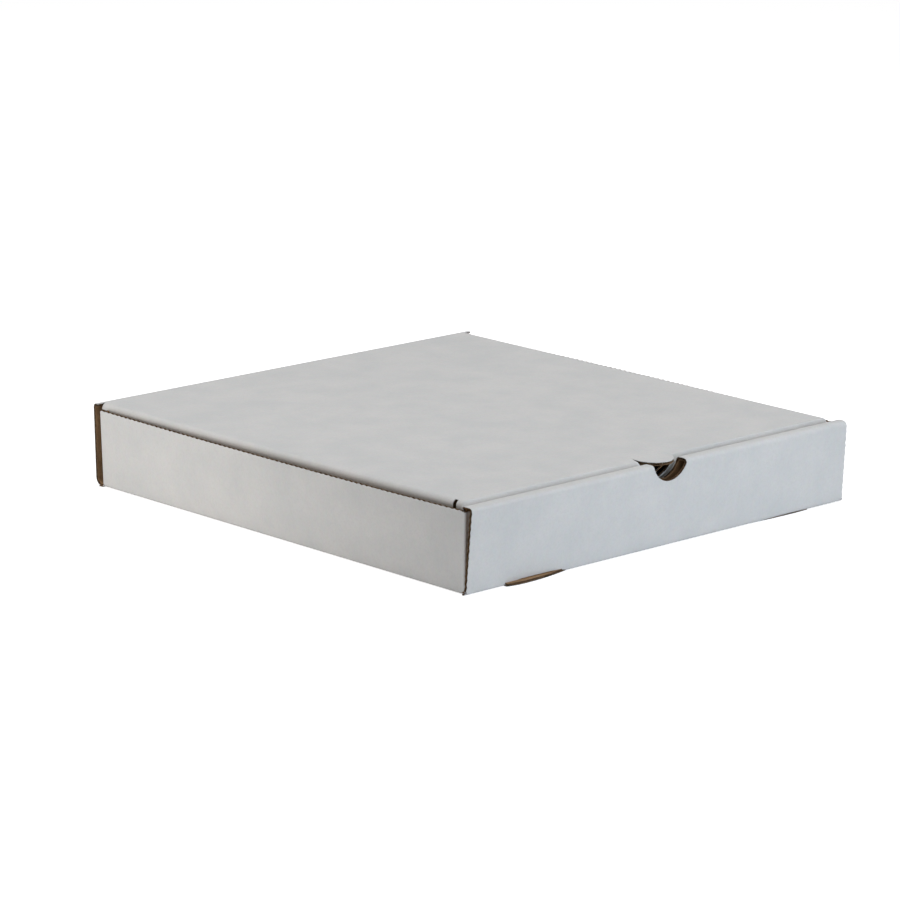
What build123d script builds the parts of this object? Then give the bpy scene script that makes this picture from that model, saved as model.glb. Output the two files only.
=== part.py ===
"""Folded pizza box: one die-cut sheet of fine-flute board, set up and closed.

The frame stands on the table: +Z up, the hinge at +Y, the thumb notch at -Y, millimetres.
The sheet is kept as two solids that meet at the hinge crease, because the lid swings there.
"""
import math
import os

from build123d import *

# The board and the box
board = 1.6
box_width = 254.0
wall_length = 258.0
wall_height = 39.0
closed_height = 41.2
panel_inset = 0.5
fold_gap = 0.3

# Side walls: straight at their ends, bowed outwards half way along the free edge
side_crease_radius = 1.8
wall_root = 3.0
wall_bow = 3.0

# Corner flaps, turned in from both ends of each side wall
flap_length = 55.0
flap_drop = 1.0
flap_lift = 0.6
flap_taper = 5.0

# Rear wall, which carries the lid
rear_foot = 4.6
rear_reach = 7.2
rear_crease_radius = 4.2
hinge_radius = 2.6
mitre_relief = 0.15

# Front: outer panel, top strip and inner panel rolled over the corner flaps
front_foot = 1.9
front_reach = 4.2
roll_height = 40.9
roll_crease_radius = 2.2
roll_rear_radius = 2.2
front_crease_radius = 2.6
inner_panel_gap = 0.3
inner_panel_side_gap = 0.6
notch_radius = 12.0
notch_depth = 8.9
thumb_centre = 2.2

# Locking tabs at the foot of the inner panel, and the slots they pass through
tab_half_width = 20.0
tab_centre = 82.5
tab_poke = 3.7
tab_heel_radius = 2.2
tab_curve = 3.6
tab_poke_hidden = 1.0
tab_curve_hidden = 1.4

# Lid: top panel, tuck flap at the front and a dust flap at each side
lid_side_gap = 1.0
lid_front_gap = 2.0
lid_fold_radius = 2.6
lid_flap_height = 31.6
tuck_lean = 1.7
tuck_end_gap = 4.5
tuck_taper = 7.0
dust_front_gap = 5.0
dust_rear_gap = 0.6
dust_taper = 14.0
hinge_strip_gap = 3.2
shoulder_drop = 0.2
thumb_tab_radius = 10.0
thumb_tab_gap = 0.3

# Places that follow from the sizes above
half_width = box_width / 2
panel_half = half_width - panel_inset
walls_middle = (front_reach - rear_reach) / 2
front_fold = walls_middle - wall_length / 2
rear_fold = walls_middle + wall_length / 2
front_face = front_fold - front_reach
rear_face = rear_fold + rear_reach
flap_top = wall_height - flap_drop
flap_foot = board + flap_lift
inner_panel_front = front_fold + board + inner_panel_gap
inner_panel_rear = inner_panel_front + board
lid_half = half_width - board - lid_side_gap
lid_front = inner_panel_rear + lid_front_gap
lid_flat_start = lid_front + lid_fold_radius
lid_flap_foot = closed_height - lid_flap_height
base_join = rear_fold - 10.0
hinge_reach = 8.0
beyond = 20.0

# The hinge: the middle of the fold, and the pivot half way round its outer face
rear_lean = (rear_reach - rear_foot) / closed_height
fold_turn = math.pi / 2 + math.atan(rear_lean)
fold_reach = hinge_radius / math.tan(math.pi / 2 - fold_turn / 2)
hinge_corner = (rear_face, closed_height)
fold_centre = (rear_face - fold_reach, closed_height - hinge_radius)
mitre_direction = (hinge_corner[0] - fold_centre[0], hinge_corner[1] - fold_centre[1])
mitre_length = math.hypot(mitre_direction[0], mitre_direction[1])
mitre_unit = (mitre_direction[0] / mitre_length, mitre_direction[1] / mitre_length)
hinge_pivot = (fold_centre[0] + hinge_radius * mitre_unit[0], fold_centre[1] + hinge_radius * mitre_unit[1])


def mitre_plane(towards_lid):
    """Plane square to the sheet half way round the hinge fold, cut back from it by the relief."""
    normal = (0, -mitre_unit[1] * towards_lid, mitre_unit[0] * towards_lid)
    origin = (0, hinge_pivot[0] - normal[1] * mitre_relief, hinge_pivot[1] - normal[2] * mitre_relief)
    return Plane(origin=origin, x_dir=(1, 0, 0), z_dir=normal)


def inner_corners(corners, to_left):
    """Corners of the sheet's inner face, one board's thickness to the left (1) or right (-1)."""
    normals = []
    for start, end in zip(corners, corners[1:]):
        length = math.dist(start, end)
        normals.append(((start[1] - end[1]) / length, (end[0] - start[0]) / length))
    moved = []
    for corner, before, after in zip(corners, normals[:1] + normals, normals + normals[-1:]):
        share = to_left * board / (1 + before[0] * after[0] + before[1] * after[1])
        moved.append((corner[0] + share * (before[0] + after[0]), corner[1] + share * (before[1] + after[1])))
    return moved


def folded_section(corners, radii, to_left):
    """Draw the section of board folded round corners of its outer face, with the outer radii."""
    inside = inner_corners(corners, to_left)
    FilletPolyline(*corners, radius=radii)
    FilletPolyline(*inside, radius=[radius - board for radius in radii])
    Line(corners[0], inside[0])
    Line(corners[-1], inside[-1])


with BuildPart() as tray:
    # Rear wall, from half way round the hinge fold down to its foot
    with BuildSketch(Plane.YZ):
        with BuildLine():
            folded_section(
                [
                    (rear_face - hinge_reach, closed_height),
                    hinge_corner,
                    (rear_fold + rear_foot, 0),
                    (base_join, 0),
                ],
                [hinge_radius, rear_crease_radius],
                -1,
            )
        make_face()
    extrude(amount=panel_half, both=True)
    split(bisect_by=mitre_plane(1), keep=Keep.BOTTOM)

    # Base, outer front panel, top strip and inner panel, rolled over in one piece
    with BuildSketch(Plane.YZ):
        with BuildLine():
            folded_section(
                [
                    (base_join, 0),
                    (front_fold - front_foot, 0),
                    (front_face, roll_height),
                    (inner_panel_rear, roll_height),
                    (inner_panel_rear, board + fold_gap),
                ],
                [front_crease_radius, roll_crease_radius, roll_rear_radius],
                -1,
            )
        make_face()
    extrude(amount=panel_half, both=True)

    # Room for the side creases along the base, and for the side walls beside the inner panel
    crease_start = half_width - side_crease_radius
    with BuildSketch(Plane.XY.offset(-board)):
        for side in (-1, 1):
            with Locations((side * (crease_start + beyond / 2), walls_middle)):
                Rectangle(beyond, wall_length)
    extrude(amount=2 * board + fold_gap / 2, mode=Mode.SUBTRACT)
    inner_panel_half = half_width - board - inner_panel_side_gap
    with BuildSketch(Plane.XY.offset(board)):
        for side in (-1, 1):
            with Locations((side * (inner_panel_half + beyond / 2), inner_panel_front + beyond / 2 - fold_gap)):
                Rectangle(beyond, beyond)
    extrude(amount=wall_height + fold_gap / 2 - board, mode=Mode.SUBTRACT)

    # Thumb notch, through the outer panel, the top strip and the inner panel
    with BuildSketch(Plane.XZ.offset(-inner_panel_rear - board)):
        with Locations((thumb_centre, roll_height - notch_depth + notch_radius)):
            Circle(notch_radius)
    extrude(amount=inner_panel_rear + board - front_face + board, mode=Mode.SUBTRACT)

    # Slots at the front crease, and the locking tabs that poke out of them
    for side, poke, curve in ((-1, tab_poke, tab_curve), (1, tab_poke_hidden, tab_curve_hidden)):
        with BuildSketch(Plane.XY.offset(-board)):
            with Locations((side * tab_centre, inner_panel_rear + fold_gap - beyond / 2)):
                Rectangle(2 * (tab_half_width + fold_gap), beyond)
        extrude(amount=2 * board + fold_gap, mode=Mode.SUBTRACT)
        heel_front = inner_panel_rear - tab_heel_radius
        with BuildSketch(Plane.YZ.offset(side * tab_centre)):
            with BuildLine():
                folded_section(
                    [
                        (heel_front - fold_gap, 0),
                        (inner_panel_rear, 0),
                        (inner_panel_rear, tab_heel_radius + board),
                    ],
                    [tab_heel_radius],
                    1,
                )
            make_face()
        extrude(amount=tab_half_width, both=True)
        toe_end = front_fold - poke
        toe_side = toe_end + curve
        with BuildSketch(Plane.XY):
            with BuildLine():
                ThreePointArc(
                    (side * tab_centre - tab_half_width, toe_side),
                    (side * tab_centre, toe_end),
                    (side * tab_centre + tab_half_width, toe_side),
                )
                Line(
                    (side * tab_centre + tab_half_width, toe_side),
                    (side * tab_centre + tab_half_width, heel_front),
                )
                Line(
                    (side * tab_centre + tab_half_width, heel_front),
                    (side * tab_centre - tab_half_width, heel_front),
                )
                Line(
                    (side * tab_centre - tab_half_width, heel_front),
                    (side * tab_centre - tab_half_width, toe_side),
                )
            make_face()
        extrude(amount=board)

    # Side walls: a crease along the base, then a wall whose free edge bows outwards
    wall_straight = wall_length / 2 - side_crease_radius
    for side in (-1, 1):
        with BuildSketch(Plane.XZ.offset(-walls_middle)):
            with BuildLine():
                folded_section(
                    [
                        (side * (crease_start - fold_gap), 0),
                        (side * half_width, 0),
                        (side * half_width, wall_root),
                    ],
                    [side_crease_radius],
                    side,
                )
            make_face()
        extrude(amount=wall_straight, both=True)
        with BuildSketch(Plane.XY.offset(wall_root)) as wall_foot:
            with Locations((side * (half_width - board / 2), walls_middle)):
                Rectangle(board, 2 * wall_straight)
        with BuildSketch(Plane.XY.offset(wall_height)) as wall_edge:
            with BuildLine():
                outer = ThreePointArc(
                    (side * half_width, walls_middle - wall_straight),
                    (side * (half_width + wall_bow), walls_middle),
                    (side * half_width, walls_middle + wall_straight),
                )
                inner = ThreePointArc(
                    (side * (half_width - board), walls_middle - wall_straight),
                    (side * (half_width - board + wall_bow), walls_middle),
                    (side * (half_width - board), walls_middle + wall_straight),
                )
                Line(outer @ 0, inner @ 0)
                Line(outer @ 1, inner @ 1)
            make_face()
        loft(ruled=True)

    # Corner flaps: a fold at each end of each side wall, and a flap lying along the end
    for side in (-1, 1):
        for fold, inwards in ((front_fold, 1), (rear_fold, -1)):
            turn_x = side * crease_start
            turn_y = fold + inwards * side_crease_radius
            with BuildSketch(Plane.XY.offset(flap_foot)):
                with Locations((turn_x, turn_y)):
                    Circle(side_crease_radius)
                    Circle(side_crease_radius - board, mode=Mode.SUBTRACT)
                with Locations((turn_x + side * side_crease_radius / 2, turn_y - inwards * side_crease_radius / 2)):
                    Rectangle(side_crease_radius, side_crease_radius, mode=Mode.INTERSECT)
            extrude(amount=flap_top - flap_foot)
            with BuildSketch(Plane.XZ.offset(-fold)) as flap:
                with BuildLine():
                    flap_end = half_width - flap_length
                    Polyline(
                        (side * crease_start, flap_foot),
                        (side * (flap_end + flap_taper), flap_foot),
                        (side * flap_end, flap_foot + flap_taper),
                        (side * flap_end, flap_top - flap_taper),
                        (side * (flap_end + flap_taper), flap_top),
                        (side * crease_start, flap_top),
                        close=True,
                    )
                make_face()
            extrude(amount=-inwards * board)

with BuildPart() as lid:
    # From half way round the hinge fold over the top panel and down the tuck flap
    with BuildSketch(Plane.YZ):
        with BuildLine():
            folded_section(
                [
                    (rear_face - hinge_reach * rear_lean, closed_height - hinge_reach),
                    hinge_corner,
                    (lid_front, closed_height),
                    (lid_front + tuck_lean, lid_flap_foot),
                ],
                [hinge_radius, lid_fold_radius],
                1,
            )
        make_face()
    extrude(amount=panel_half, both=True)
    split(bisect_by=mitre_plane(-1), keep=Keep.BOTTOM)

    # Ahead of the hinge strip the top panel ends where the dust flaps turn down
    lid_flat_half = lid_half - lid_fold_radius
    strip_start = rear_fold + hinge_strip_gap
    with BuildSketch(Plane.XY):
        for side in (-1, 1):
            with Locations((side * (lid_flat_half + beyond / 2), (strip_start + front_face) / 2)):
                Rectangle(beyond, strip_start - front_face)
    extrude(amount=closed_height + board, mode=Mode.SUBTRACT)

    # The tuck flap is a little narrower than the top panel and tapers towards its free edge
    tuck_half = lid_flat_half + lid_fold_radius - tuck_end_gap
    tuck_back = lid_front + tuck_lean + 2 * board
    with BuildSketch(Plane.XZ.offset(-tuck_back)):
        for side in (-1, 1):
            with BuildLine():
                Polyline(
                    (side * tuck_half, closed_height - lid_fold_radius),
                    (side * (tuck_half + beyond), closed_height - lid_fold_radius),
                    (side * (tuck_half + beyond), 0),
                    (side * (tuck_half - tuck_taper), 0),
                    close=True,
                )
            make_face()
    extrude(amount=tuck_back - front_face, mode=Mode.SUBTRACT)

    # Dust flaps, folded down along the top panel's sides from behind the roll to the hinge strip
    dust_front = lid_front + dust_front_gap
    dust_rear = rear_fold - board - dust_rear_gap
    for side in (-1, 1):
        with BuildSketch(Plane.XZ.offset(-(dust_front + strip_start) / 2)):
            with BuildLine():
                folded_section(
                    [
                        (side * (lid_flat_half - fold_gap), closed_height),
                        (side * lid_half, closed_height),
                        (side * lid_half, lid_flap_foot),
                    ],
                    [lid_fold_radius],
                    -side,
                )
            make_face()
        extrude(amount=(strip_start - dust_front) / 2, both=True)

    # Below their fold the dust flaps stop short of the corner flaps, and taper to drop in easily
    shoulder_foot = closed_height - lid_fold_radius - shoulder_drop
    with BuildSketch(Plane.YZ):
        with BuildLine():
            Polyline(
                (dust_rear, 0),
                (strip_start + fold_gap, 0),
                (strip_start + fold_gap, shoulder_foot),
                (dust_rear, shoulder_foot),
                close=True,
            )
        make_face()
        for end, inwards in ((dust_front, 1), (dust_rear, -1)):
            taper = dust_taper if inwards > 0 else flap_taper
            with BuildLine():
                Polyline(
                    (end, lid_flap_foot + 2 * taper),
                    (end + inwards * taper, lid_flap_foot),
                    (end, lid_flap_foot),
                    close=True,
                )
            make_face()
    extrude(amount=half_width, both=True, mode=Mode.SUBTRACT)

    # The thumb tab stays in the plane of the top, and leaves its own hole in the tuck flap
    with BuildSketch(Plane.XZ.offset(-lid_flat_start)):
        with Locations((thumb_centre, closed_height)):
            Circle(thumb_tab_radius + thumb_tab_gap)
    extrude(amount=lid_flat_start - front_face, mode=Mode.SUBTRACT)
    with BuildSketch(Plane.XY.offset(closed_height - board)):
        with Locations((thumb_centre, lid_flat_start)):
            Circle(thumb_tab_radius)
    extrude(amount=board)

tray.part.label = "tray"
lid.part.label = "lid"

os.makedirs("parts", exist_ok=True)
export_step(tray.part, "parts/tray.step")
export_step(lid.part, "parts/lid.step")

for piece in (tray.part, lid.part):
    size = piece.bounding_box()
    print(piece.label, "solids", len(piece.solids()), "volume", round(piece.volume), "from", size.min, "to", size.max)
print("hinge pivot y, z:", [round(value, 4) for value in hinge_pivot])
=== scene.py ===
"""Looks of the folded pizza box: white-lined fluted board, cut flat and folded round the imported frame.

Lengths in the classes are millimetres. A piece becomes metres when its flat blank is folded. WELD is the
distance at which two places on a blank are one, NEAR the distance at which a place lies on a line of the
die, UV_PER_MM the scale of the blank in its UV map, SHARP_EDGE the turn from which an edge is shaded sharp,
and WAVE_RADIANS what a wave texture turns to a unit of length.
"""

import logging
import math
from dataclasses import dataclass, field
from enum import IntEnum
from typing import Callable

import bmesh
import bpy
from mathutils import Matrix, Vector, noise


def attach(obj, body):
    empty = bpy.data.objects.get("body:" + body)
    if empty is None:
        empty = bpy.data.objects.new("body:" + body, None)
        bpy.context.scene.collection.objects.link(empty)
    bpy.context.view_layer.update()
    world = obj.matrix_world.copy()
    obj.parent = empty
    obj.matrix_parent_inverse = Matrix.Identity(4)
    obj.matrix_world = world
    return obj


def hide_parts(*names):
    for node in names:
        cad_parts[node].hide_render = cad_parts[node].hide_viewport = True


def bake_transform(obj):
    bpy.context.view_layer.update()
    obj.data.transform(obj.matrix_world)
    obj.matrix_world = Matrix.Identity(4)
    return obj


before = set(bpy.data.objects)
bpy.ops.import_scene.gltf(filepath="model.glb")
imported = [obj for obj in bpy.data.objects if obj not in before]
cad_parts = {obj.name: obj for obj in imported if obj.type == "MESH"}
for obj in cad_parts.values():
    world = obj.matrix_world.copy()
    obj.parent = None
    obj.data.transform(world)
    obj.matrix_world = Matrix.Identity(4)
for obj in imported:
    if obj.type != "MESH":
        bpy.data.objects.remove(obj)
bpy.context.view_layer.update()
log = logging.getLogger("pizza_box")

MM = 0.001
WELD = 1e-4
NEAR = 0.01
UV_PER_MM = 0.01
SHARP_EDGE = math.radians(35)
WAVE_RADIANS = 20.0
Pair = tuple[float, float]
Triple = tuple[float, float, float]


class Ply(IntEnum):
    """Material slots of every piece of board."""

    WHITE_LINER = 0
    KRAFT_LINER = 1
    MEDIUM = 2


@dataclass(frozen=True)
class Board:
    """Fine-flute corrugated board: two liners and the wavy medium between them."""

    thickness: float = 1.6
    liner: float = 0.27
    medium: float = 0.2
    flute_pitch: float = 3.4
    wave_step: float = 0.5
    wave_share: float = 0.96
    drift: float = 0.5
    drift_scale: float = 0.02
    cut_rows: tuple[float, ...] = (0.5, 1.0, 1.2)

    def wave_depth(self, across: float, along: float) -> float:
        """Depth of the medium's outer side under the white face.

        Args:
            across: Place on the blank across the flutes.
            along: Place on the blank along the flutes.

        Returns:
            Depth in millimetres.
        """
        room = (self.thickness - 2 * self.liner - self.medium) / 2
        wander = noise.noise(Vector((along * self.drift_scale, across * self.drift_scale, 3.0)))
        phase = 2 * math.pi * (across / self.flute_pitch + self.drift * wander)
        return self.liner + room * (1 + self.wave_share * math.sin(phase))


@dataclass
class Span:
    """Stretch of a fold path: where it starts, which way it heads and how it bends."""

    start: float
    length: float
    place: Pair
    heading: float
    bend: float


@dataclass
class FoldPath:
    """Outer face of a sheet in section, through corners that are rounded to given radii.

    Attributes:
        corners: Places in the section's plane.
        radii: Radius at each corner but the first and the last.
        inward: 1 where the board lies left of the path's heading, -1 where it lies right.
        crush: Length beside each bend over which the board comes back to its full thickness.
        squeeze: Share of a bend's radius that the board takes up at most on its inner side.
    """

    corners: list[Pair]
    radii: list[float]
    inward: int = 1
    crush: float = 1.3
    squeeze: float = 0.94
    spans: list[Span] = field(init=False, default_factory=list)

    def __post_init__(self) -> None:
        """Work out the straights and the arcs between them."""
        run = 0.0
        trim = 0.0
        for index in range(len(self.corners) - 1):
            (ax, ay), (bx, by) = self.corners[index:index + 2]
            heading = math.atan2(by - ay, bx - ax)
            place = (ax + trim * math.cos(heading), ay + trim * math.sin(heading))
            turn, radius, cut = 0.0, 0.0, 0.0
            if index < len(self.radii):
                cx, cy = self.corners[index + 2]
                turn = math.atan2(cy - by, cx - bx) - heading
                turn = (turn + math.pi) % (2 * math.pi) - math.pi
                radius = self.radii[index]
                cut = radius * math.tan(abs(turn) / 2)
            length = math.dist((ax, ay), (bx, by)) - trim - cut
            self.spans.append(Span(run, length, place, heading, 0.0))
            run += length
            if radius > 0:
                place = (place[0] + length * math.cos(heading), place[1] + length * math.sin(heading))
                arc = radius * abs(turn)
                self.spans.append(Span(run, arc, place, heading, math.copysign(1 / radius, turn)))
                run += arc
            trim = cut

    @property
    def length(self) -> float:
        """Length along the outer face."""
        return self.spans[-1].start + self.spans[-1].length

    def point(self, run: float, depth: float = 0.0) -> Pair:
        """Place in the section's plane.

        Args:
            run: Distance along the outer face; past either end the path runs straight on.
            depth: Depth under the outer face.

        Returns:
            The two coordinates of the place.
        """
        span = next((s for s in reversed(self.spans) if s.start <= run), self.spans[0])
        gone = run - span.start
        heading = span.heading + span.bend * gone
        if span.bend:
            across = span.place[0] + (math.sin(heading) - math.sin(span.heading)) / span.bend
            up = span.place[1] - (math.cos(heading) - math.cos(span.heading)) / span.bend
        else:
            across = span.place[0] + gone * math.cos(heading)
            up = span.place[1] + gone * math.sin(heading)
        if span.bend * self.inward > 0:
            depth = min(depth, self.squeeze / abs(span.bend))
        shift = self.inward * depth
        return across - shift * math.sin(heading), up + shift * math.cos(heading)

    def arcs(self) -> list[Pair]:
        """Start and end of each bend, as distances along the path."""
        return [(s.start, s.start + s.length) for s in self.spans if s.bend]

    def turns(self, steps: int) -> list[float]:
        """Distances spread evenly round each bend.

        Args:
            steps: Stretches that each bend is divided into.

        Returns:
            Distances along the path, in order.
        """
        found = []
        for start, end in self.arcs():
            found += [start + (end - start) * step / steps for step in range(steps + 1)]
        return found

    def stations(self, steps: int = 6) -> list[float]:
        """Distances at which a sheet needs a line of its own to bend smoothly.

        Args:
            steps: Faces round each bend.

        Returns:
            Distances along the path, in no order.
        """
        beside = [start - self.crush for start, _ in self.arcs()]
        beside += [end + self.crush for _, end in self.arcs()]
        return beside + self.turns(steps)

    def outline(self, steps: int = 5) -> list[Pair]:
        """Corners of the path with its bends drawn out.

        Args:
            steps: Edges round each bend.

        Returns:
            Places in the path's plane.
        """
        return [self.corners[0]] + [self.point(run) for run in self.turns(steps)] + [self.corners[-1]]


Fold = Callable[[float, float, float], Vector]


def even_places(low: float, high: float, step: float) -> list[float]:
    """Places spread evenly between two limits, without the limits.

    Args:
        low: Lower limit.
        high: Upper limit.
        step: Largest distance between two places.

    Returns:
        The places, in order.
    """
    count = max(1, math.ceil((high - low) / step))
    return [low + (high - low) * index / count for index in range(1, count)]


def rippled(first: Pair, last: Pair, away: Pair, height: float = 0.22, pitch: float = 3.4) -> list[Pair]:
    """Corners along a cut edge that the flutes leave rippled.

    Args:
        first: Start of the edge.
        last: End of the edge.
        away: Direction of the ripples.
        height: Height of a ripple over the edge's middle line.
        pitch: Distance between two ripples.

    Returns:
        Places on the blank, from the start to the end.
    """
    count = 4 * round(math.dist(first, last) / pitch)
    found = []
    for index in range(count + 1):
        share = index / count
        uneven = noise.noise(Vector((index * 0.37, first[0], first[1])) * 0.7)
        lift = height * math.sin(math.pi / 2 * index) * (0.7 + 0.6 * uneven)
        x, y = (start + (end - start) * share for start, end in zip(first, last))
        found.append((x + away[0] * lift, y + away[1] * lift))
    return found


class Blank:
    """Flat die-cut sheet: x along the flutes, y across them, z minus the depth in the board."""

    def __init__(self, board: Board) -> None:
        """Start an empty blank of the given board."""
        self.board = board
        self.mesh = bmesh.new()

    def cut(self, corners: list[Pair]) -> None:
        """Add a closed line of the die, the outline or a hole in it.

        Args:
            corners: Places on the blank, in order round the line.
        """
        verts = [self.mesh.verts.new((x, y, 0)) for x, y in corners]
        for first, second in zip(verts, verts[1:] + verts[:1]):
            self.mesh.edges.new((first, second))

    def press(self) -> None:
        """Fill the sheet between the die's lines."""
        bmesh.ops.remove_doubles(self.mesh, verts=self.mesh.verts[:], dist=WELD)
        bmesh.ops.triangle_fill(self.mesh, edges=self.mesh.edges[:], use_beauty=True, normal=(0, 0, 1))
        loose = [edge for edge in self.mesh.edges if not edge.link_faces]
        bmesh.ops.delete(self.mesh, geom=loose, context="EDGES")

    def rule(self, axis: int, places: list[float]) -> None:
        """Draw lines right across the sheet, where it will bend.

        Args:
            axis: 0 for lines at a given x, 1 for lines at a given y.
            places: Where the lines lie.
        """
        normal = Vector((1, 0, 0)) if axis == 0 else Vector((0, 1, 0))
        for place in sorted(set(round(value, 5) for value in places)):
            everything = self.mesh.verts[:] + self.mesh.edges[:] + self.mesh.faces[:]
            bmesh.ops.bisect_plane(
                self.mesh, geom=everything, dist=WELD, plane_co=normal * place, plane_no=normal,
                use_snap_center=False, clear_outer=False, clear_inner=False,
            )

    def tidy(self) -> None:
        """Join the triangles of the fill into larger flat faces, and mend slivers."""
        bmesh.ops.remove_doubles(self.mesh, verts=self.mesh.verts[:], dist=5 * WELD)
        bmesh.ops.join_triangles(
            self.mesh, faces=[f for f in self.mesh.faces if len(f.verts) == 3],
            angle_face_threshold=0.1, angle_shape_threshold=3.0,
        )

    def liner(self, top: float, outer: Ply, inner: Ply) -> bmesh.types.BMesh:
        """A liner of the board: the sheet with the liner's own thickness.

        Args:
            top: Depth of the liner's outer side.
            outer: Finish of its outer side and of its cut edge.
            inner: Finish of the side that faces the flutes.

        Returns:
            A flat mesh of its own.
        """
        sheet = self.mesh.copy()
        upper = sheet.faces[:]
        kept = bmesh.ops.extrude_face_region(sheet, geom=upper, use_keep_orig=True)
        lower = [item for item in kept["geom"] if isinstance(item, bmesh.types.BMFace)]
        moved = [item for item in kept["geom"] if isinstance(item, bmesh.types.BMVert)]
        bmesh.ops.translate(sheet, verts=moved, vec=(0, 0, -self.board.liner))
        for face in sheet.faces:
            face.material_index = outer
        for face in lower:
            face.material_index = inner
        bmesh.ops.translate(sheet, verts=sheet.verts[:], vec=(0, 0, -top))
        return sheet

    def medium(self, is_cut: Callable[[Vector], bool]) -> bmesh.types.BMesh:
        """The wavy medium, along the cut edges where it can be seen.

        Args:
            is_cut: Says of a place on the sheet's boundary whether the die cut it.

        Returns:
            A flat mesh of its own.
        """
        ribbon = bmesh.new()
        inward = ribbon.verts.layers.float_vector.new("inward")
        made: dict[int, bmesh.types.BMVert] = {}
        edges = []
        for edge in self.mesh.edges:
            if len(edge.link_faces) != 1:
                continue
            middle = (edge.verts[0].co + edge.verts[1].co) / 2
            if not is_cut(middle):
                continue
            along = (edge.verts[1].co - edge.verts[0].co).normalized()
            away = Vector((-along.y, along.x, 0))
            if away.dot(edge.link_faces[0].calc_center_median() - middle) < 0:
                away.negate()
            for vert in edge.verts:
                if vert.index not in made:
                    made[vert.index] = ribbon.verts.new(vert.co)
                made[vert.index][inward] = made[vert.index][inward] + away
            edges.append(ribbon.edges.new([made[vert.index] for vert in edge.verts]))
        for edge in edges:
            cuts = math.ceil(edge.calc_length() / self.board.wave_step) - 1
            if cuts > 0:
                bmesh.ops.subdivide_edges(ribbon, edges=[edge], cuts=cuts)
        row = ribbon.edges[:]
        for step in self.board.cut_rows:
            drawn = bmesh.ops.extrude_edge_only(ribbon, edges=row)["geom"]
            row = [item for item in drawn if isinstance(item, bmesh.types.BMEdge)]
            for vert in (item for item in drawn if isinstance(item, bmesh.types.BMVert)):
                vert.co += vert[inward].normalized() * step
        for vert in ribbon.verts:
            vert.co.z = -self.board.wave_depth(vert.co.y, vert.co.x)
        kept = bmesh.ops.extrude_face_region(ribbon, geom=ribbon.faces[:], use_keep_orig=True)
        moved = [item for item in kept["geom"] if isinstance(item, bmesh.types.BMVert)]
        bmesh.ops.translate(ribbon, verts=moved, vec=(0, 0, -self.board.medium))
        for face in ribbon.faces:
            face.material_index = Ply.MEDIUM
        return ribbon


def fold_board(name: str, blank: Blank, fold: Fold, is_cut: Callable[[Vector], bool]) -> bpy.types.Object:
    """Build the board's three plies on a blank and fold them into the finished piece.

    Args:
        name: Name of the object.
        blank: The pressed and ruled blank.
        fold: Takes a place on the blank, across x and y and down to a depth, into the frame.
        is_cut: Says of a place on the sheet's boundary whether the die cut it.

    Returns:
        The object, in metres, with its place in its mesh.
    """
    board = blank.board
    blank.mesh.verts.index_update()
    plies = [
        blank.liner(0.0, Ply.WHITE_LINER, Ply.MEDIUM),
        blank.liner(board.thickness - board.liner, Ply.MEDIUM, Ply.KRAFT_LINER),
        blank.medium(is_cut),
    ]
    data = bpy.data.meshes.new(name)
    whole = bmesh.new()
    for ply in plies:
        part = bpy.data.meshes.new("ply")
        ply.to_mesh(part)
        whole.from_mesh(part)
        bpy.data.meshes.remove(part)
        ply.free()
    flat = whole.loops.layers.uv.new("blank")
    for face in whole.faces:
        for loop in face.loops:
            loop[flat].uv = loop.vert.co.xy * UV_PER_MM
    for vert in whole.verts:
        vert.co = fold(vert.co.x, vert.co.y, -vert.co.z) * MM
    bmesh.ops.recalc_face_normals(whole, faces=whole.faces[:])
    for face in whole.faces:
        face.smooth = True
    for edge in whole.edges:
        edge.smooth = len(edge.link_faces) == 2 and edge.calc_face_angle(0.0) < SHARP_EDGE
    whole.to_mesh(data)
    whole.free()
    blank.mesh.free()
    obj = bpy.data.objects.new(name, data)
    bpy.context.scene.collection.objects.link(obj)
    return obj


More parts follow.
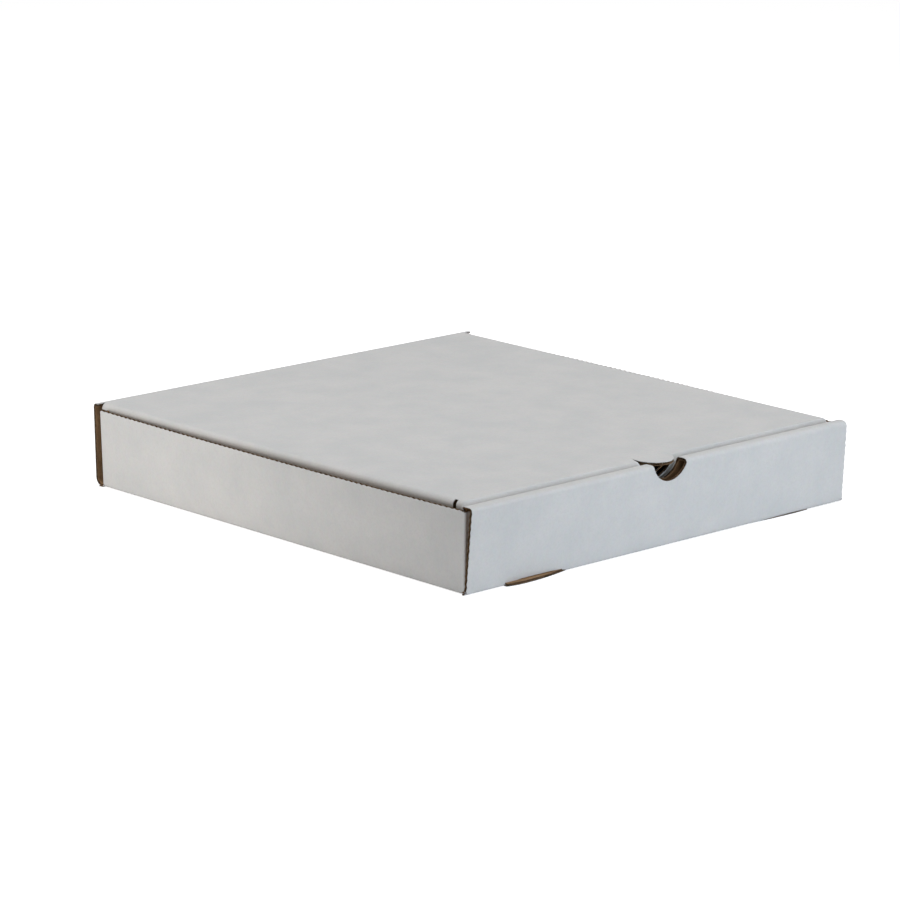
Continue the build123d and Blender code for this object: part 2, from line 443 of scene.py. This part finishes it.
@dataclass(frozen=True)
class PaperFinish:
    """Finish of a paper liner or of the medium.

    Attributes:
        name: Name of the material.
        colour: Main colour, linear.
        shade: Colour of the cloudy patches, linear.
        fibre: Colour of the fine fibres, linear.
        cloud_scale: Patches to a metre.
        fibre_scale: Fibres to a metre.
        fibre_share: How strongly the fibres show, 0 to 1.
        roughness: Roughness of the surface.
        washboard: Height in metres at which the flutes show through.
        tint: How strongly the colour wanders from place to place, 0 to 1.
    """

    name: str
    colour: Triple
    shade: Triple
    fibre: Triple
    cloud_scale: float = 45.0
    fibre_scale: float = 900.0
    fibre_share: float = 0.1
    roughness: float = 0.8
    washboard: float = 0.0
    tint: float = 0.0

    def material(self) -> bpy.types.Material:
        """Make the material.

        Returns:
            The new material.
        """
        made = bpy.data.materials.new(self.name)
        made.use_nodes = True
        made.diffuse_color = (*self.colour, 1.0)
        nodes, links = made.node_tree.nodes, made.node_tree.links
        shader = nodes["Principled BSDF"]
        shader.inputs["Roughness"].default_value = self.roughness
        shader.inputs["Specular IOR Level"].default_value = 0.3
        place = nodes.new("ShaderNodeTexCoord")

        textures = []
        for scale, detail, roughness in (
            (self.cloud_scale, 3.0, 0.6), (self.fibre_scale, 2.0, 0.7), (self.fibre_scale * 0.45, 1.0, 0.5),
        ):
            texture = nodes.new("ShaderNodeTexNoise")
            texture.inputs["Scale"].default_value = scale
            texture.inputs["Detail"].default_value = detail
            texture.inputs["Roughness"].default_value = roughness
            links.new(place.outputs["Object"], texture.inputs["Vector"])
            textures.append(texture)
        clouds, fibres, wander = textures
        tone = None
        for texture, low, high, most, colour in (
            (clouds, 0.35, 0.65, 1.0, self.shade), (fibres, 0.42, 0.72, self.fibre_share, self.fibre),
        ):
            share = nodes.new("ShaderNodeMapRange")
            share.inputs["From Min"].default_value = low
            share.inputs["From Max"].default_value = high
            share.inputs["To Max"].default_value = most
            links.new(texture.outputs["Fac"], share.inputs["Value"])
            blend = nodes.new("ShaderNodeMix")
            blend.data_type = "RGBA"
            links.new(share.outputs["Result"], blend.inputs["Factor"])
            blend.inputs["A"].default_value = (*self.colour, 1.0)
            blend.inputs["B"].default_value = (*colour, 1.0)
            if tone:
                links.new(tone, blend.inputs["A"])
            tone = blend.outputs["Result"]
        tinted = nodes.new("ShaderNodeMix")
        tinted.data_type = "RGBA"
        tinted.blend_type = "OVERLAY"
        tinted.inputs["Factor"].default_value = self.tint
        links.new(tone, tinted.inputs["A"])
        links.new(wander.outputs["Color"], tinted.inputs["B"])
        links.new(tinted.outputs["Result"], shader.inputs["Base Color"])

        grain = nodes.new("ShaderNodeBump")
        grain.inputs["Strength"].default_value = 0.25
        grain.inputs["Distance"].default_value = 0.00008
        links.new(fibres.outputs["Fac"], grain.inputs["Height"])
        links.new(grain.outputs["Normal"], shader.inputs["Normal"])
        if self.washboard:
            self.show_flutes(nodes, links, grain)
        return made

    def show_flutes(
        self, nodes: bpy.types.Nodes, links: bpy.types.NodeLinks, grain: bpy.types.ShaderNodeBump,
    ) -> None:
        """Let every second flute show faintly through the liner, as a line along it.

        Args:
            nodes: Nodes of the material.
            links: Links of the material.
            grain: The bump that carries the paper's grain.
        """
        sheet = nodes.new("ShaderNodeUVMap")
        sheet.uv_map = "blank"
        waves = nodes.new("ShaderNodeTexWave")
        waves.wave_type = "BANDS"
        waves.bands_direction = "Y"
        band = 2 * Board.flute_pitch * UV_PER_MM
        waves.inputs["Scale"].default_value = 2 * math.pi / (WAVE_RADIANS * band)
        waves.inputs["Distortion"].default_value = 0.4
        waves.inputs["Detail"].default_value = 1.0
        links.new(sheet.outputs["UV"], waves.inputs["Vector"])
        ridges = nodes.new("ShaderNodeBump")
        ridges.inputs["Strength"].default_value = 0.5
        ridges.inputs["Distance"].default_value = self.washboard
        links.new(waves.outputs["Fac"], ridges.inputs["Height"])
        links.new(ridges.outputs["Normal"], grain.inputs["Normal"])


WHITE_LINER = PaperFinish(
    name="white_liner", colour=(0.685, 0.68, 0.675), shade=(0.635, 0.64, 0.64), fibre=(0.52, 0.52, 0.51),
    fibre_share=0.22, washboard=0.00003, tint=0.06,
)
KRAFT_LINER = PaperFinish(
    name="kraft_liner", colour=(0.38, 0.228, 0.118), shade=(0.32, 0.19, 0.098), fibre=(0.17, 0.1, 0.05),
    cloud_scale=70.0, fibre_scale=700.0, fibre_share=0.5, roughness=0.85, washboard=0.00004,
)
MEDIUM = PaperFinish(
    name="flute_medium", colour=(0.19, 0.115, 0.06), shade=(0.13, 0.078, 0.04), fibre=(0.06, 0.036, 0.02),
    cloud_scale=300.0, fibre_scale=1200.0, fibre_share=0.5, roughness=0.9,
)


@dataclass
class Hinge:
    """The fold at the top of the rear wall, where the lid swings."""

    corner: Pair = (134.6, 41.2)
    wall_foot: Pair = (132.9, 0.0)
    radius: float = 1.9
    half_width: float = 126.5
    lid_run: float = 12.0
    panel_step: float = 14.0
    bend_steps: int = 8

    def path(self) -> FoldPath:
        """Section of the fold, from the rear wall up and forward to the lid."""
        on_lid = (self.corner[0] - self.lid_run, self.corner[1])
        return FoldPath([self.wall_foot, self.corner, on_lid], [self.radius], 1)

    def ends(self) -> tuple[Pair, Pair]:
        """Find where the outer face starts and stops bending.

        Returns:
            The places on the wall and on the lid, each as y and z.
        """
        path = self.path()
        start, end = path.arcs()[0]
        return path.point(start), path.point(end)

    def build(self, board: Board) -> bpy.types.Object:
        """Build the fold as a band of board of its own.

        Args:
            board: The board it is made of.

        Returns:
            The finished object, a band with a fixed bend that joins the tray and the lid.
        """
        path = self.path()
        start, end = path.arcs()[0]
        blank = Blank(board)
        half = self.half_width
        blank.cut([(-half, start), (half, start), (half, end), (-half, end)])
        blank.press()
        blank.rule(1, path.stations(self.bend_steps))
        blank.rule(0, even_places(-half, half, self.panel_step))
        blank.tidy()

        def fold(x: float, y: float, depth: float) -> Vector:
            """Bend the band round the hinge."""
            across, up = path.point(y, depth)
            return Vector((x, across, up))

        obj = fold_board("hinge_crease", blank, fold, lambda place: abs(place.x) > half - NEAR)
        wall_end, lid_end = self.ends()
        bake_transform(obj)
        return obj


@dataclass
class Tray:
    """Lower part of the sheet: base, side walls with corner flaps, rear wall and rolled front."""

    hinge: Hinge
    middle: float = -1.5
    half_length: float = 129.0
    half_width: float = 127.0
    panel_half: float = 126.5
    wall_height: float = 38.8
    side_radius: float = 1.8
    corner_radius: float = 0.7
    corner_recess: float = 0.9
    corner_depth: float = 2.4
    corner_room: float = 1.12
    recess_end: float = 5.5
    recess_radii: Pair = (0.8, 3.0)
    wall_bow: float = 2.9
    wall_lean: float = 1.6
    bow_foot: float = 3.0
    lift_top: float = 12.0
    rear_radius: float = 4.2
    front_feet: Pair = (-131.4, -132.3)
    front_tops: Pair = (-134.6, -134.2)
    front_radii: Pair = (1.3, 2.8)
    roll_top: float = 40.9
    roll_radii: Pair = (1.7, 2.6)
    roll_rear: float = -127.0
    roll_rear_radius: float = 2.2
    roll_pinch: float = 0.75
    pinch_width: float = 4.0
    roll_step: float = 2.0
    under_run: float = 12.0
    front_ripple: float = 0.25
    inner_half: float = 124.8
    notch_radius: float = 12.0
    notch_centre: Pair = (2.2, 44.0)
    notch_turn: float = 8.2
    notch_lip: float = 0.3
    tab_centre: float = 82.5
    tab_half: float = 20.0
    tab_curves: Pair = (3.6, 1.4)
    tab_tips: Pair = (-134.4, -131.8)
    toe_peak: float = 0.5
    toe_widths: Pair = (0.8, 1.5)
    slot_gap: float = 0.3
    slot_tops: Pair = (1.9, 0.25)
    inner_foot: float = 1.9
    flap_length: float = 55.0
    flap_foot: float = 2.2
    flap_top: float = 38.4
    flap_corner: float = 5.0
    flap_recess: float = 0.4
    flap_rise: Triple = (0.5, 3.0, 4.0)
    corner_foot: float = 0.5
    wing_start: float = 0.6
    panel_step: float = 13.0
    half_blank: float = 166.0

    def __post_init__(self) -> None:
        """Draw the sections that the sheet folds along, at its left and right end where they differ."""
        wall_end = self.hinge.ends()[0]
        self.spines = [
            FoldPath(
                [
                    wall_end, self.hinge.wall_foot, (foot, 0.0), (top, self.roll_top),
                    (self.roll_rear, self.roll_top), (self.roll_rear, 0.0),
                    (self.roll_rear - self.under_run, 0.0),
                ],
                [self.rear_radius, front_radius, roll_radius, self.roll_rear_radius, self.roll_rear_radius],
                -1,
            )
            for foot, top, front_radius, roll_radius in zip(
                self.front_feet, self.front_tops, self.front_radii, self.roll_radii)
        ]
        base = self.spines[0].spans[2]
        self.reach = base.start + base.place[0]
        self.crease = self.half_width - self.side_radius
        self.wall = FoldPath(
            [(self.crease, 0), (self.half_width, 0), (self.half_width, self.wall_height)],
            [self.side_radius], 1,
        )
        self.wall_end = self.half_length - self.corner_room
        flap = self.half_length - self.flap_recess
        self.corner = FoldPath(
            [
                (self.wall_end, self.half_width), (self.half_length, self.half_width),
                (self.half_length - self.corner_recess, self.half_width - self.corner_depth),
                (flap, self.half_width - self.recess_end), (flap, 0),
            ],
            [self.corner_radius, *self.recess_radii], -1,
        )
        self.wall_lift = self.wall.length - self.wall_height
        self.heel_end = max(spine.arcs()[4][1] for spine in self.spines)

    def section(self, x: float, run: float, depth: float = 0.0) -> Pair:
        """Place in the section at x, which changes evenly from the left end to the right one.

        Args:
            x: Place along the flutes.
            run: Distance along the outer face from the hinge.
            depth: Depth under the outer face.

        Returns:
            The place's y and z in the frame.
        """
        share = min(1.0, max(0.0, 0.5 + x / (2 * self.panel_half)))
        left, right = (spine.point(run, depth) for spine in self.spines)
        return left[0] + share * (right[0] - left[0]), left[1] + share * (right[1] - left[1])

    def run_at(self, height: float, inner: bool, x: float) -> float:
        """Place on the blank, across the flutes, of a height on the front.

        Args:
            height: Height over the table.
            inner: True for the inner panel, False for the outer one.
            x: Place along the flutes.

        Returns:
            The blank's y.
        """
        arcs = self.spines[0].arcs()
        low, high = (arcs[3][0], arcs[4][1]) if inner else (arcs[1][0], arcs[2][1])
        for _ in range(40):
            mid = (low + high) / 2
            over = self.section(x, mid)[1] > height
            if over == inner:
                low = mid
            else:
                high = mid
        return self.reach - (low + high) / 2

    def outline(self, side: int) -> list[Pair]:
        """Right half (1) or left half (-1) of the die's outer line, rear to front.

        Args:
            side: Which half.

        Returns:
            Places on the blank.
        """
        end_of = 0 if side < 0 else 1
        arcs = self.spines[end_of].arcs()
        top = self.wall.length + self.crease
        foot = self.crease + self.flap_foot + self.wall_lift
        high = self.crease + self.flap_top + self.wall_lift
        turn = self.wall_end + self.corner.arcs()[0][1]
        end = turn + self.flap_length - self.corner_radius
        low = foot - self.flap_foot + self.corner_foot
        first, second, third = (turn + rise for rise in self.flap_rise)
        flap = [(low, self.wall_end), (low, first), (foot, second)]
        flap += FoldPath(
            [(foot, third), (foot, end), (high, end), (high, self.wall_end)], [self.flap_corner] * 2,
        ).outline()
        rear = [(x, self.middle + y) for x, y in flap]
        front = [(x, self.middle - y) for x, y in reversed(flap)]
        rear_end, front_end = self.middle + self.wall_end, self.middle - self.wall_end
        half = [(self.panel_half, self.reach), (self.panel_half, self.middle + self.half_length)]
        half += [(self.crease, rear_end), *rear]
        half += rippled((top, rear_end), (top, front_end), (1, 0))
        half += [*front, (self.crease, front_end), (self.panel_half, self.middle - self.half_length)]
        roll_end = self.reach - arcs[3][1]
        panel_low, panel_high = self.reach - arcs[1][1], self.reach - arcs[2][0]
        half += rippled(
            (self.panel_half, panel_low), (self.panel_half, panel_high), (1, 0), self.front_ripple,
        )
        half += [(self.panel_half, roll_end + self.roll_step), (self.inner_half, roll_end)]
        heel = self.section(side * self.tab_centre, self.heel_end)[0]
        inner_foot = self.run_at(self.inner_foot, True, side * self.tab_centre)
        tip_run = self.reach - (self.heel_end + heel - self.tab_tips[end_of])
        half += [(self.inner_half, inner_foot), (self.tab_centre + self.tab_half, inner_foot)]
        for share in (1, 0.85, 0.7, 0.5, 0.25, 0, -0.25, -0.5, -0.75, -1):
            away = (share - self.toe_peak) / self.toe_widths[share <= self.toe_peak]
            curve = self.tab_curves[end_of] * away * away
            half.append((self.tab_centre + self.tab_half * share, tip_run + curve))
        half += [(self.tab_centre - self.tab_half, inner_foot)]
        return [(side * x, y) for x, y in half]

    def notch(self) -> list[Pair]:
        """Draw the die's line round the thumb notch.

        Returns:
            Places on the blank.
        """
        middle, centre = self.notch_centre
        halves = {1: [], -1: []}
        for side, half in halves.items():
            for inner in (False, True):
                for turn in (math.radians(step * self.notch_turn) for step in range(10)):
                    height = centre - self.notch_radius * math.cos(turn)
                    x = middle + side * self.notch_radius * math.sin(turn)
                    if height < self.roll_top - self.notch_lip:
                        half.append((x, self.run_at(height, inner, x)))
            half.sort(key=lambda place: -place[1])
        return halves[1] + [place for place in reversed(halves[-1]) if place[0] < middle - NEAR]

    def slot_line(self, side: int) -> list[Pair]:
        """The die's line round a slot: straight at the heel and arched over the toe.

        Args:
            side: -1 for the left slot, 1 for the right one.

        Returns:
            Places on the blank.
        """
        half = self.tab_half + self.slot_gap
        middle = side * self.tab_centre
        rear = self.roll_rear + self.slot_gap
        top = self.slot_tops[0 if side < 0 else 1]
        arch = []
        for share in (1, 0.97, 0.9, 0.75, 0.5, 0.25, 0, -0.25, -0.5, -0.75, -0.9, -0.97, -1):
            height = top * (1 - abs(share) ** 5)
            arch.append((middle + half * share, self.run_at(height, False, middle + half * share)))
        return [(middle - half, rear), (middle + half, rear), *arch]

    def pinch(self, x: float, run: float) -> float:
        """Say how far the board is flattened at the two open ends of the roll.

        Args:
            x: Place along the flutes.
            run: Distance along the outer face from the hinge.

        Returns:
            Share of the thickness that is lost, 0 to 1.
        """
        arcs = self.spines[0].arcs()
        if not arcs[2][0] < run < arcs[3][1]:
            return 0.0
        return self.roll_pinch * max(0.0, 1 - (self.panel_half - abs(x)) / self.pinch_width)

    def bow_wall(self, y: float, height: float) -> float:
        """Say how far a side wall stands out: bowed half way, and leaning where its rear end isn't held.

        Args:
            y: Place along the wall.
            height: Height over the table.

        Returns:
            Distance past the upright wall.
        """
        place = max(-1.0, min(1.0, (y - self.middle) / self.wall_end))
        out = self.wall_bow * (1 - place * place) + self.wall_lean * max(0.0, place) ** 1.5
        return out * max(0.0, (height - self.bow_foot) / (self.wall_height - self.bow_foot))

    def fold(self, x: float, y: float, depth: float) -> Vector:
        """Take a place on the blank into the frame.

        Args:
            x: Place along the flutes.
            y: Place across the flutes.
            depth: Depth under the white face.

        Returns:
            The place in the frame, in millimetres.
        """
        side = -1 if x < 0 else 1
        past = abs(y - self.middle) - self.wall_end
        wing = abs(x) > self.crease + WELD and (past < WELD or abs(x) > self.half_width + self.wing_start)
        if not wing:
            run = self.reach - y
            across, up = self.section(x, run, depth)
            return Vector((x, across, up + self.pinch(x, run) * depth))
        out, up = self.wall.point(abs(x) - self.crease, depth)
        lift = self.section(x, self.reach - max(y, self.middle - self.wall_end))[1] if y < 0 else 0.0
        up += lift * max(0.0, 1 - up / self.lift_top)
        bow = self.bow_wall(y, up)
        if past <= 0:
            return Vector((side * (out + bow), y, up))
        along, out = self.corner.point(past, depth)
        return Vector((side * (out + bow), self.middle + math.copysign(along, y - self.middle), up))

    def build(self, board: Board) -> bpy.types.Object:
        """Build the tray.

        Args:
            board: The board it is made of.

        Returns:
            The finished object.
        """
        blank = Blank(board)
        blank.cut(self.outline(1) + self.outline(-1)[::-1])
        blank.cut(self.notch())
        for side in (-1, 1):
            blank.cut(self.slot_line(side))
        blank.press()
        blank.rule(1, [self.reach - run for spine in self.spines for run in spine.stations()])
        blank.rule(1, [self.middle + way * (self.wall_end + run)
                       for way in (-1, 1) for run in self.corner.stations(4)])
        blank.rule(1, even_places(self.reach - self.spines[0].length, self.reach, self.panel_step))
        blank.rule(0, [side * (self.crease + run) for side in (-1, 1) for run in self.wall.stations()])
        blank.rule(0, [side * (self.panel_half - self.pinch_width) for side in (-1, 1)])
        blank.rule(0, even_places(-self.half_blank, self.half_blank, self.panel_step))
        blank.tidy()
        return fold_board("tray_board", blank, self.fold, lambda place: place.y < self.reach - NEAR)


@dataclass
class Lid:
    """Upper part of the sheet: top panel, tuck flap, dust flaps and thumb tab."""

    hinge: Hinge
    height: float = 41.2
    half_width: float = 124.4
    strip_half: float = 126.5
    strip_front: float = 130.7
    slit: float = 0.3
    front: float = -125.0
    front_break: float = -122.6
    front_drop: float = 2.9
    front_radii: Pair = (0.6, 1.9)
    fold_radius: float = 2.6
    foot: float = 9.6
    tuck_lean: float = 1.7
    tuck_half: float = 122.4
    tuck_taper: float = 7.0
    tuck_corner: float = 8.0
    tuck_start: float = 2.6
    dust_front: float = -117.2
    dust_rear: float = 125.3
    dust_taper: float = 14.0
    dust_lean: float = 3.5
    dust_radii: tuple[float, ...] = (0.4, 6.0, 4.0, 4.0)
    side_end: float = 6.0
    shoulder: float = 4.2
    ear: Pair = (5.0, -119.5)
    ear_root: float = 0.4
    ear_slope: float = 0.3
    ear_end: float = 1.0
    squeeze: float = 2.0
    droop: float = 0.8
    cut_back: float = 6.5
    slack_width: float = 14.0
    slack_depth: float = 8.0
    tab_middle: float = 2.2
    tab_radius: float = 10.0
    tab_gap: float = 0.3
    tab_rough: float = 0.35
    tab_steps: int = 32
    panel_step: float = 13.0
    half_blank: float = 156.0

    def __post_init__(self) -> None:
        """Draw the two sections that the sheet folds along."""
        self.rear = self.hinge.ends()[1][0]
        self.spine = FoldPath(
            [
                (self.rear, self.height), (self.front_break, self.height),
                (self.front, self.height - self.front_drop), (self.front + self.tuck_lean, self.foot),
            ],
            list(self.front_radii), 1,
        )
        self.flat = self.half_width - self.fold_radius
        self.side = FoldPath(
            [
                (self.flat, self.height), (self.half_width, self.height),
                (self.half_width - self.dust_lean, self.foot),
            ],
            [self.fold_radius], -1,
        )
        self.fold_start = self.rear - self.spine.arcs()[0][0]

    def outline(self) -> list[Pair]:
        """Draw the right half of the die's outer line, rear to front.

        Returns:
            Places on the blank.
        """
        arc_end = self.rear - self.spine.arcs()[0][1]
        end = self.rear - self.spine.length
        wing = self.flat + self.side.length
        taper = self.dust_taper
        dust = FoldPath(
            [
                (self.flat + self.shoulder, self.strip_front), (self.flat + self.shoulder, self.dust_rear),
                (wing, self.dust_rear), (wing, self.dust_front + taper),
                (wing - 2 * taper, self.dust_front), (self.flat + self.ear_root, self.dust_front),
            ],
            list(self.dust_radii), 1,
        ).outline()
        tuck = FoldPath(
            [(self.tuck_half, arc_end - self.tuck_start), (self.tuck_half - self.tuck_taper, end), (0, end)],
            [self.tuck_corner], 1,
        ).outline()
        return [
            (self.strip_half, self.rear), (self.strip_half, self.strip_front + self.slit),
            (self.flat, self.strip_front + self.slit), (self.flat, self.strip_front),
            *dust, (self.flat + self.ear_root, self.ear[1] + self.ear_slope),
            (self.flat + self.ear[0], self.ear[1]), (self.flat + self.ear[0], arc_end - self.ear_end),
            *tuck[:-1],
        ]

    def thumb_line(self) -> list[Pair]:
        """Draw the die's line round the thumb tab, a narrow gap with an inner and an outer side.

        Returns:
            Places on the blank.
        """
        inner, outer = self.tab_radius, self.tab_radius + self.tab_gap
        middle = self.tab_middle
        halves = []
        for radius in (inner, outer):
            half = []
            for step in range(self.tab_steps + 1):
                turn = math.pi * step / self.tab_steps
                rough = radius + self.tab_rough * noise.noise(Vector((step * 0.83, 0.5, 0)))
                half.append((middle + rough * math.cos(turn), self.fold_start - rough * math.sin(turn)))
            halves.append(half)
        near, far = halves[0], halves[1][::-1]
        back = self.fold_start + self.cut_back
        return [(middle + inner, back), *near, (middle - inner, back), *far]

    def fold(self, x: float, y: float, depth: float) -> Vector:
        """Take a place on the blank into the frame.

        Args:
            x: Place along the flutes.
            y: Place across the flutes.
            depth: Depth under the white face.

        Returns:
            The place in the frame, in millimetres.
        """
        out = abs(x)
        drop = fall = 0.0
        if out > self.flat + WELD and self.fold_start - self.side_end < y < self.strip_front + self.slit / 2:
            fall = self.height - self.side.point(out - self.flat)[1]
            out, up = self.side.point(out - self.flat, depth)
            drop = self.height - up - depth
        out = math.copysign(out, x)
        if x < 0:
            share = min(1.0, max(0.0, (self.strip_front - y) / (self.strip_front - self.front)))
            out += self.squeeze * share * min(1.0, -x / self.flat)
        edge = math.hypot(x - self.tab_middle, min(0.0, y - self.fold_start)) - self.tab_radius
        if edge < self.tab_gap / 2:
            return Vector((out, y, self.height - depth - drop))
        slack = max(0.0, 1 - edge / self.slack_width)
        if y > self.fold_start:
            sag = self.droop * slack * max(0.0, 1 - (y - self.fold_start) / self.cut_back) ** 2
            return Vector((out, y, self.height - depth - drop - sag))
        across, up = self.spine.point(self.rear - y, depth)
        sag = self.droop * slack * max(0.0, 1 - (self.height - up) / self.slack_depth)
        return Vector((out, across, up - fall - sag))

    def build(self, board: Board) -> bpy.types.Object:
        """Build the lid.

        Args:
            board: The board it is made of.

        Returns:
            The finished object.
        """
        blank = Blank(board)
        right = self.outline()
        blank.cut(right + [(-x, y) for x, y in reversed(right)])
        blank.cut(self.thumb_line())
        blank.press()
        blank.rule(1, [self.rear - run for run in self.spine.stations()])
        blank.rule(1, [self.fold_start + self.cut_back * step / 3 for step in (1, 2, 3)])
        blank.rule(1, even_places(self.rear - self.spine.length, self.rear, self.panel_step))
        blank.rule(0, [side * (self.flat + run) for side in (-1, 1) for run in self.side.stations()])
        blank.rule(0, even_places(-self.half_blank, self.half_blank, self.panel_step))
        blank.tidy()
        return fold_board("lid_board", blank, self.fold, lambda place: place.y < self.rear - NEAR)


@dataclass
class Studio:
    """Pale floor, soft light and the camera at the photograph's angle."""

    lens: float = 166.93
    yaw: float = 43.64
    pitch: float = 14.06
    roll: float = 0.65
    shift_right: float = 10.04
    shift_up: float = -0.15
    distance: float = 2043.8
    target: Triple = (0.0, -1.5, 22.0)
    world_level: float = 0.22
    world_colour: Triple = (1.0, 1.0, 1.0)
    left_spread: float = 70.0
    floor_glow: float = 0.75
    floor_half: float = 6.0

    def camera(self) -> bpy.types.Object:
        """Place the camera.

        Returns:
            The camera.
        """
        yaw, pitch, roll = (math.radians(angle) for angle in (self.yaw, self.pitch, self.roll))
        ahead = Vector((math.cos(pitch) * math.sin(yaw), math.cos(pitch) * math.cos(yaw), -math.sin(pitch)))
        right = Vector((math.cos(yaw), -math.sin(yaw), 0.0))
        above = right.cross(ahead)
        right, above = (
            right * math.cos(roll) + above * math.sin(roll), above * math.cos(roll) - right * math.sin(roll)
        )
        place = Vector(self.target) - ahead * self.distance
        place -= right * self.shift_right + above * self.shift_up
        data = bpy.data.cameras.new("camera")
        data.sensor_width = 36.0
        data.lens = self.lens
        data.clip_start = 0.05
        data.clip_end = 50.0
        obj = bpy.data.objects.new("camera", data)
        turned = Matrix((right, above, -ahead)).transposed().to_4x4()
        obj.matrix_world = Matrix.Translation(place * MM) @ turned
        bpy.context.scene.collection.objects.link(obj)
        bpy.context.scene.camera = obj
        return obj

    @staticmethod
    def pick(
        nodes: bpy.types.Nodes, links: bpy.types.NodeLinks, lit: bpy.types.NodeSocket,
        seen: bpy.types.NodeSocket,
    ) -> bpy.types.NodeSocket:
        """Let the camera see another shader, directly and in gloss, than the one that lights the box.

        Args:
            nodes: Nodes of the material or the world.
            links: Links of the material or the world.
            lit: Socket of the shader that lights the box.
            seen: Socket of the shader that the camera sees.

        Returns:
            The socket of the two together.
        """
        rays = nodes.new("ShaderNodeLightPath")
        either = nodes.new("ShaderNodeMath")
        either.operation = "MAXIMUM"
        links.new(rays.outputs["Is Camera Ray"], either.inputs[0])
        links.new(rays.outputs["Is Glossy Ray"], either.inputs[1])
        mix = nodes.new("ShaderNodeMixShader")
        links.new(either.outputs["Value"], mix.inputs["Fac"])
        links.new(lit, mix.inputs[1])
        links.new(seen, mix.inputs[2])
        return mix.outputs["Shader"]

    def floor(self) -> bpy.types.Object:
        """Lay the floor.

        Returns:
            The floor.
        """
        sheet = bmesh.new()
        bmesh.ops.create_grid(sheet, x_segments=1, y_segments=1, size=self.floor_half)
        data = bpy.data.meshes.new("floor")
        sheet.to_mesh(data)
        sheet.free()
        obj = bpy.data.objects.new("floor", data)
        bpy.context.scene.collection.objects.link(obj)
        paint = bpy.data.materials.new("floor_paint")
        paint.use_nodes = True
        nodes, links = paint.node_tree.nodes, paint.node_tree.links
        shader = nodes["Principled BSDF"]
        shader.inputs["Base Color"].default_value = (0.82, 0.82, 0.82, 1.0)
        shader.inputs["Roughness"].default_value = 0.9
        shader.inputs["Specular IOR Level"].default_value = 0.0
        glow = nodes.new("ShaderNodeEmission")
        glow.inputs["Color"].default_value = (1, 1, 1, 1)
        glow.inputs["Strength"].default_value = self.floor_glow
        none = nodes.new("ShaderNodeEmission")
        none.inputs["Strength"].default_value = 0.0
        both = nodes.new("ShaderNodeAddShader")
        links.new(shader.outputs["BSDF"], both.inputs[0])
        picked = self.pick(nodes, links, none.outputs["Emission"], glow.outputs["Emission"])
        links.new(picked, both.inputs[1])
        links.new(both.outputs["Shader"], nodes["Material Output"].inputs["Surface"])
        data.materials.append(paint)
        return obj

    def world(self) -> None:
        """Set the even light from all round, and the white that the camera sees behind the box."""
        sky = bpy.data.worlds.new("studio")
        sky.use_nodes = True
        nodes, links = sky.node_tree.nodes, sky.node_tree.links
        light = nodes["Background"]
        light.inputs["Color"].default_value = (*self.world_colour, 1.0)
        light.inputs["Strength"].default_value = self.world_level
        white = nodes.new("ShaderNodeBackground")
        white.inputs["Color"].default_value = (1, 1, 1, 1)
        white.inputs["Strength"].default_value = 1.0
        picked = self.pick(nodes, links, light.outputs["Background"], white.outputs["Background"])
        links.new(picked, nodes["World Output"].inputs["Surface"])
        bpy.context.scene.world = sky

    def lamp(
        self, name: str, place: Triple, size: float, power: float,
        colour: Triple, towards: Triple = (0.0, 0.0, 0.02),
    ) -> bpy.types.Object:
        """Hang a square soft lamp.

        Args:
            name: Name of the lamp.
            place: Where it hangs, in metres.
            size: Length of its side, in metres.
            power: Power in watts.
            colour: Colour of its light.
            towards: The point it faces, in metres.

        Returns:
            The lamp.
        """
        data = bpy.data.lights.new(name, "AREA")
        data.shape = "SQUARE"
        data.size = size
        data.energy = power
        data.color = colour
        obj = bpy.data.objects.new(name, data)
        way = Vector(towards) - Vector(place)
        obj.matrix_world = Matrix.Translation(place) @ way.to_track_quat("-Z", "Y").to_matrix().to_4x4()
        bpy.context.scene.collection.objects.link(obj)
        return obj

    def build(self) -> None:
        """Set up the whole studio."""
        self.camera()
        self.floor()
        self.world()
        self.lamp("top_softbox", (0.0, -0.12, 1.4), 1.0, 10.5, (1.0, 1.0, 1.0))
        self.lamp("front_softbox", (0.1, -0.85, 0.14), 0.26, 2.38, (0.775, 0.875, 0.98))
        left = self.lamp(
            "left_softbox", (-0.55, 0.2, 0.11), 0.2, 0.165, (1.0, 0.965, 0.915), (-0.13, 0.07, 0.02),
        )
        left.data.spread = math.radians(self.left_spread)
        self.lamp("rear_softbox", (0.2, 0.9, 0.14), 0.26, 1.2, (1.0, 1.0, 1.0))
        self.lamp("right_softbox", (0.9, 0.1, 0.14), 0.26, 1.2, (1.0, 1.0, 1.0))
        bpy.context.scene.view_settings.view_transform = "Standard"


def dress(obj: bpy.types.Object, body: str | None, node: str | None) -> None:
    """Give a piece of board its finishes and its place among the CAD bodies.

    Args:
        obj: The piece.
        body: Body that it moves with, or None for a piece that is attached to no body.
        node: CAD node that it stands for, or None.
    """
    for finish in (WHITE_LINER, KRAFT_LINER, MEDIUM):
        obj.data.materials.append(bpy.data.materials.get(finish.name) or finish.material())
    if body:
        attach(obj, body)
    if node:
        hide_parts(node)
    log.info("%s: %d faces", obj.name, len(obj.data.polygons))


def main() -> None:
    """Build the box, piece by piece, and the studio round it."""
    logging.basicConfig(level=logging.INFO, format="%(message)s")
    board = Board()
    hinge = Hinge()
    Studio().build()
    dress(Tray(hinge).build(board), "tray", "tray")
    dress(Lid(hinge).build(board), "lid", "lid")
    dress(hinge.build(board), None, None)


if __name__ == "__main__":
    main()
